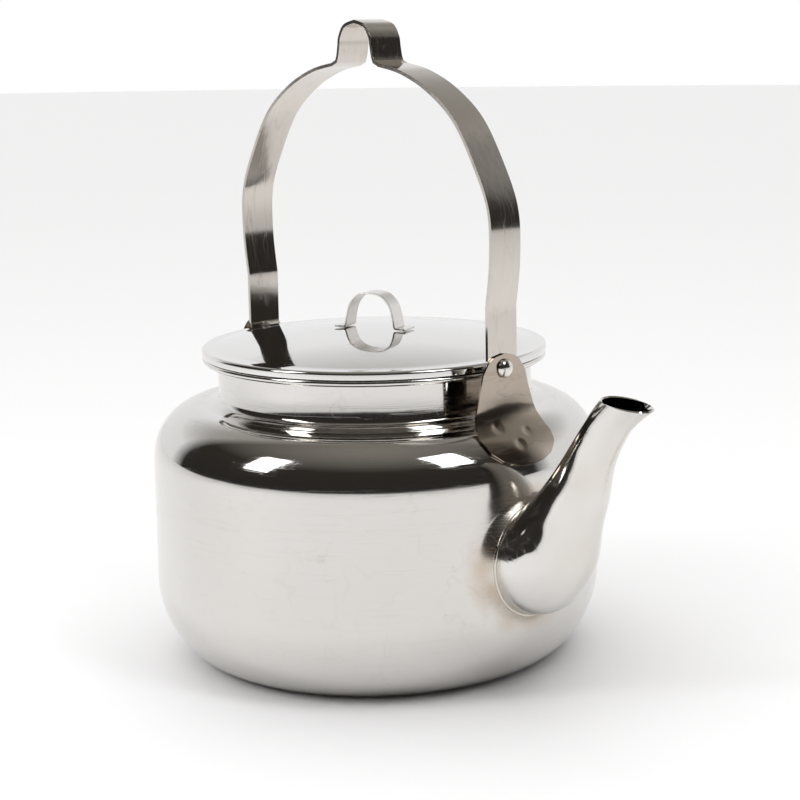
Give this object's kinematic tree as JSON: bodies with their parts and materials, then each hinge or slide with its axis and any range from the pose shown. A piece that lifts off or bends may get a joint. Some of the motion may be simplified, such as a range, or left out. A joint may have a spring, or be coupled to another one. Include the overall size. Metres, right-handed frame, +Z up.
{
  "type": "stovetop kettle",
  "caption": "Round polished steel stovetop kettle with a curved open spout, a swinging strap bail handle with a hanging loop, and a lift-off domed lid with a strap loop.",
  "frame": {"origin": "centre of the flat base, on the surface that the kettle stands on", "axes": "+Z up, +X from the axis of the body towards the spout, the bail handle in the XZ plane and hinged along X"},
  "size_m": [0.3054, 0.23, 0.326],
  "materials": {
    "body_steel": "polished stainless steel with fine rubbing marks",
    "spout_steel": "polished stainless steel with faint hammered ripples and a heat tint near the seam",
    "ear_steel": "bright rolled sheet with a warm tint and three spot-weld dimples",
    "rivet_steel": "polished domed rivet",
    "strap_steel": "bright rolled steel strap with light scuffs",
    "lid_steel": "mirror polished stainless steel",
    "loop_steel": "bright rolled steel strip"
  },
  "bodies": {
    "kettle": {"body_shell": "body_steel", "spout_half_left": "spout_steel", "spout_half_right": "spout_steel", "ear_front": "ear_steel", "ear_rear": "ear_steel", "rivet_front": "rivet_steel", "rivet_rear": "rivet_steel"},
    "bail": {"bail_handle": "strap_steel"},
    "lid": {"lid_disc": "lid_steel", "lid_collar": "lid_steel", "lid_loop": "loop_steel"}
  },
  "joints": [
    {"name": "bail_swing", "type": "hinge", "parent": "kettle", "child": "bail", "pos_m": [0, 0, 0.1588], "axis": [1, 0, 0], "range_deg": [-110, 110]},
    {"name": "lid_lift", "type": "slide", "parent": "kettle", "child": "lid", "axis": [0, 0, 1], "range_m": [0, 0.06]}
  ]
}
